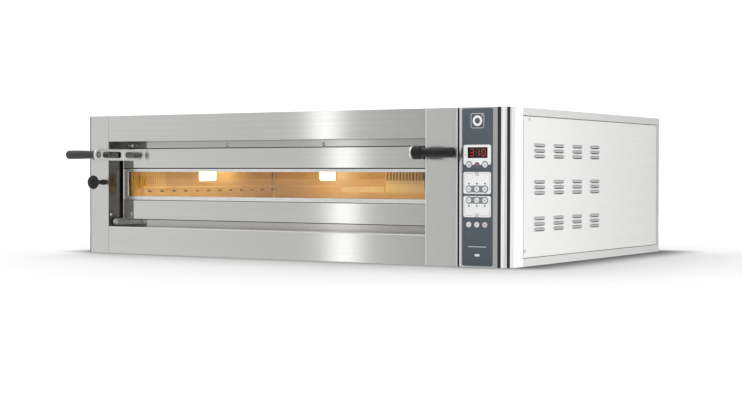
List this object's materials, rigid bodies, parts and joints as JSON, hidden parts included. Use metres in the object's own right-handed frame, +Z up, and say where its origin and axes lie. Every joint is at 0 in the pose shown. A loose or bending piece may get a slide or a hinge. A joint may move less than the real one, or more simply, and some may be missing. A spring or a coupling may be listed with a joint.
{
  "type": "countertop pizza oven",
  "caption": "Electric deck oven with a drop-down glazed door, lit stone-floored chamber, side control panel, pull damper and louvred sides.",
  "frame": {"origin": "centre of the cabinet footprint, on the surface the oven rests on", "axes": "+X to the right along the front, +Y to the back (the door faces -Y), +Z up"},
  "size_m": [1.4262, 1.0838, 0.4],
  "materials": {
    "brushed_steel": "satin",
    "polished_steel": "polished",
    "side_steel": "satin",
    "bracket_steel": "satin",
    "fastener_steel": "gloss",
    "chamber_steel": "satin",
    "heater_steel": "matte",
    "refractory": "matte",
    "mineral_wool": "matte",
    "lamp_glass": "gloss",
    "tinted_glass": "gloss",
    "overlay_blue": "satin",
    "label_white": "satin",
    "screen_dark": "gloss",
    "key_plastic": "satin",
    "light_red": "gloss",
    "black_plastic": "satin",
    "dark_plastic": "matte",
    "board_green": "matte"
  },
  "bodies": {
    "root": {"base_tray": "side_steel", "bottom_fascia": "brushed_steel", "cable_gland": "dark_plastic", "case_screws": "fastener_steel", "chamber_back_wall": "chamber_steel", "chamber_baffles": "chamber_steel", "chamber_ceiling": "chamber_steel", "chamber_lamps": "lamp_glass", "chamber_left_wall": "chamber_steel", "chamber_right_wall": "chamber_steel", "control_board": "board_green", "control_housing": "polished_steel", "control_overlay": "overlay_blue", "display_frame": "label_white", "display_window": "screen_dark", "door_stops": "fastener_steel", "exhaust_duct": "chamber_steel", "hinge_pins": "fastener_steel", "insulation": "mineral_wool", "left_front_column": "brushed_steel", "left_side_panel": "side_steel", "lower_elements": "heater_steel", "lower_keypad": "label_white", "mouth_bottom_strip": "polished_steel", "mouth_side_strips": "polished_steel", "mouth_top_strip": "polished_steel", "oven_stones": "refractory", "power_electrics": "dark_plastic", "rear_panel": "side_steel", "right_front_column": "brushed_steel", "right_side_panel": "side_steel", "status_lights": "light_red", "stone_pan": "chamber_steel", "top_cover": "side_steel", "top_fascia": "brushed_steel", "upper_elements": "heater_steel", "upper_keypad": "label_white"},
    "door": {"door_lower_band": "brushed_steel", "door_upper_band": "brushed_steel", "window_frame": "polished_steel", "window_panes": "tinted_glass", "door_inner_sheet": "chamber_steel", "hinge_arms": "fastener_steel", "left_handle_bracket": "bracket_steel", "right_handle_bracket": "bracket_steel", "handle_grips": "black_plastic", "grip_bolts": "fastener_steel"},
    "damper": {"damper_knob": "black_plastic", "damper_rod": "fastener_steel"},
    "key_display_left_cap": {"key_display_left": "key_plastic"},
    "key_display_right_cap": {"key_display_right": "key_plastic"},
    "key_lower_left_cap": {"key_lower_left": "key_plastic"},
    "key_lower_middle_cap": {"key_lower_middle": "key_plastic"},
    "key_lower_right_cap": {"key_lower_right": "key_plastic"},
    "key_minus_cap": {"key_minus": "key_plastic"},
    "key_power_cap": {"key_power": "key_plastic"},
    "key_select_cap": {"key_select": "key_plastic"},
    "key_upper_left_cap": {"key_upper_left": "key_plastic"},
    "key_upper_middle_cap": {"key_upper_middle": "key_plastic"},
    "key_upper_right_cap": {"key_upper_right": "key_plastic"}
  },
  "joints": [
    {"name": "door_hinge", "type": "hinge", "parent": "root", "child": "door", "pos_m": [0, -0.4705, 0.091], "axis": [1, 0, 0], "range_deg": [0, 85]},
    {"name": "damper_slide", "type": "slide", "parent": "root", "child": "damper", "axis": [0, -1, 0], "range_m": [0, 0.06]},
    {"name": "key_display_left_press", "type": "slide", "parent": "root", "child": "key_display_left_cap", "axis": [0, 1, 0], "range_m": [0, 0.0006], "stiffness_N_per_m": 2000, "springref_m": -0.0003},
    {"name": "key_display_right_press", "type": "slide", "parent": "root", "child": "key_display_right_cap", "axis": [0, 1, 0], "range_m": [0, 0.0006], "stiffness_N_per_m": 2000, "springref_m": -0.0003},
    {"name": "key_lower_left_press", "type": "slide", "parent": "root", "child": "key_lower_left_cap", "axis": [0, 1, 0], "range_m": [0, 0.0006], "stiffness_N_per_m": 2000, "springref_m": -0.0003},
    {"name": "key_lower_middle_press", "type": "slide", "parent": "root", "child": "key_lower_middle_cap", "axis": [0, 1, 0], "range_m": [0, 0.0006], "stiffness_N_per_m": 2000, "springref_m": -0.0003},
    {"name": "key_lower_right_press", "type": "slide", "parent": "root", "child": "key_lower_right_cap", "axis": [0, 1, 0], "range_m": [0, 0.0006], "stiffness_N_per_m": 2000, "springref_m": -0.0003},
    {"name": "key_minus_press", "type": "slide", "parent": "root", "child": "key_minus_cap", "axis": [0, 1, 0], "range_m": [0, 0.0006], "stiffness_N_per_m": 2000, "springref_m": -0.0003},
    {"name": "key_power_press", "type": "slide", "parent": "root", "child": "key_power_cap", "axis": [0, 1, 0], "range_m": [0, 0.0006], "stiffness_N_per_m": 2000, "springref_m": -0.0003},
    {"name": "key_select_press", "type": "slide", "parent": "root", "child": "key_select_cap", "axis": [0, 1, 0], "range_m": [0, 0.0006], "stiffness_N_per_m": 2000, "springref_m": -0.0003},
    {"name": "key_upper_left_press", "type": "slide", "parent": "root", "child": "key_upper_left_cap", "axis": [0, 1, 0], "range_m": [0, 0.0006], "stiffness_N_per_m": 2000, "springref_m": -0.0003},
    {"name": "key_upper_middle_press", "type": "slide", "parent": "root", "child": "key_upper_middle_cap", "axis": [0, 1, 0], "range_m": [0, 0.0006], "stiffness_N_per_m": 2000, "springref_m": -0.0003},
    {"name": "key_upper_right_press", "type": "slide", "parent": "root", "child": "key_upper_right_cap", "axis": [0, 1, 0], "range_m": [0, 0.0006], "stiffness_N_per_m": 2000, "springref_m": -0.0003}
  ]
}
